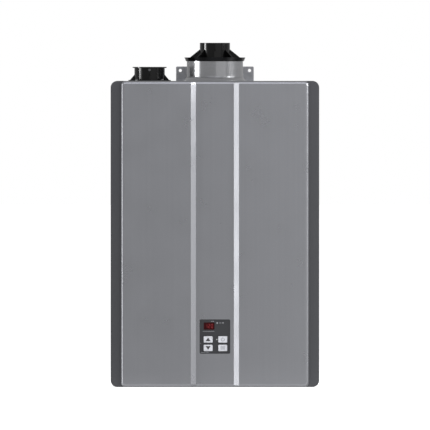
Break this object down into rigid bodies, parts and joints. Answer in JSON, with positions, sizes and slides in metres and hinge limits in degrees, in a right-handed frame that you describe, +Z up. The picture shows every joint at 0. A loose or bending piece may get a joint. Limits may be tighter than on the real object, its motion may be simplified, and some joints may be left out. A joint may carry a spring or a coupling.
{
  "type": "tankless water heater",
  "caption": "Wall-hung gas tankless water heater: tall sheet-metal case with a channelled front cover, controller, flue and intake collars, and its heat engine inside.",
  "frame": {"origin": "centre of the case's footprint, on the level of its lower edge", "axes": "+X right, +Y back to the wall, +Z up; the front cover faces -Y"},
  "size_m": [0.47, 0.29, 0.776],
  "materials": {
    "cover_paint": "satin grey powder coat",
    "side_paint": "satin charcoal powder coat",
    "galvanised": "galvanised sheet",
    "collar_steel": "spun stainless sheet",
    "screw_steel": "zinc-plated",
    "vent_plastic": "moulded black",
    "dark_plastic": "moulded dark grey",
    "display_tint": "dark tinted pane",
    "button_plastic": "moulded light grey",
    "circuit_board": "green solder mask",
    "seal_rubber": "black rubber",
    "copper": "drawn copper",
    "brass_fitting": "machined brass",
    "cast_alloy": "die-cast alloy",
    "steel_tube": "plated steel tube",
    "light_plastic": "moulded off-white"
  },
  "bodies": {
    "case": {"side_panel_left": "side_paint", "side_panel_right": "side_paint", "rear_panel": "galvanised", "top_panel": "galvanised", "bottom_pan": "galvanised", "screw_feet": "galvanised", "wall_bracket_upper": "galvanised", "wall_bracket_lower": "galvanised", "engine_hangers": "galvanised", "combustion_chamber": "galvanised", "burner_box": "galvanised", "exhaust_hood": "galvanised", "flue_collar": "collar_steel", "secondary_heat_exchanger": "collar_steel", "burner_bars": "collar_steel", "case_screws": "screw_steel", "vent_screws": "screw_steel", "flue_adapter": "vent_plastic", "intake_collar": "vent_plastic", "blower_housing": "dark_plastic", "board_tray": "dark_plastic", "condensate_trap": "dark_plastic", "ignition_transformer": "dark_plastic", "drain_caps": "dark_plastic", "control_board": "circuit_board", "cover_seal": "seal_rubber", "flue_seal": "seal_rubber", "intake_seal": "seal_rubber", "cable_grommet": "seal_rubber", "condensate_hose": "seal_rubber", "ignition_lead": "seal_rubber", "primary_heat_exchanger": "copper", "return_bends": "copper", "cold_pipe": "copper", "transfer_pipe": "copper", "hot_pipe": "copper", "gas_inlet": "brass_fitting", "cold_inlet": "brass_fitting", "hot_outlet": "brass_fitting", "water_valve": "brass_fitting", "thermistors": "brass_fitting", "gas_valve": "cast_alloy", "gas_manifold": "cast_alloy", "blower_motor": "cast_alloy", "gas_pipe": "steel_tube", "flow_sensor": "light_plastic", "igniter_electrodes": "light_plastic", "condensate_drain": "light_plastic"},
    "cover": {"front_cover": "cover_paint", "cover_screws": "screw_steel", "control_bezel": "dark_plastic", "display_window": "display_tint", "switch_board": "circuit_board", "control_housing": "dark_plastic"},
    "button_up_body": {"button_up": "button_plastic"},
    "button_power_body": {"button_power": "button_plastic"},
    "button_down_body": {"button_down": "button_plastic"},
    "button_menu_body": {"button_menu": "button_plastic"},
    "blower_rotor": {"blower_impeller": "light_plastic"},
    "turbine_rotor": {"flow_turbine": "light_plastic"}
  },
  "joints": [
    {"name": "cover_lift", "type": "slide", "parent": "case", "child": "cover", "axis": [0, -1, 0], "range_m": [0, 0.3]},
    {"name": "button_up_press", "type": "slide", "parent": "cover", "child": "button_up_body", "axis": [0, 1, 0], "range_m": [0, 0.0008], "stiffness_N_per_m": 600, "springref_m": -0.002},
    {"name": "button_power_press", "type": "slide", "parent": "cover", "child": "button_power_body", "axis": [0, 1, 0], "range_m": [0, 0.0008], "stiffness_N_per_m": 600, "springref_m": -0.002},
    {"name": "button_down_press", "type": "slide", "parent": "cover", "child": "button_down_body", "axis": [0, 1, 0], "range_m": [0, 0.0008], "stiffness_N_per_m": 600, "springref_m": -0.002},
    {"name": "button_menu_press", "type": "slide", "parent": "cover", "child": "button_menu_body", "axis": [0, 1, 0], "range_m": [0, 0.0008], "stiffness_N_per_m": 600, "springref_m": -0.002},
    {"name": "blower_spin", "type": "hinge", "parent": "case", "child": "blower_rotor", "pos_m": [-0.111, 0.0383, 0.221], "axis": [0, 1, 0], "continuous": true},
    {"name": "turbine_spin", "type": "hinge", "parent": "case", "child": "turbine_rotor", "pos_m": [0.143, -0.0587, 0.0882], "axis": [0, 0, 1], "continuous": true}
  ]
}
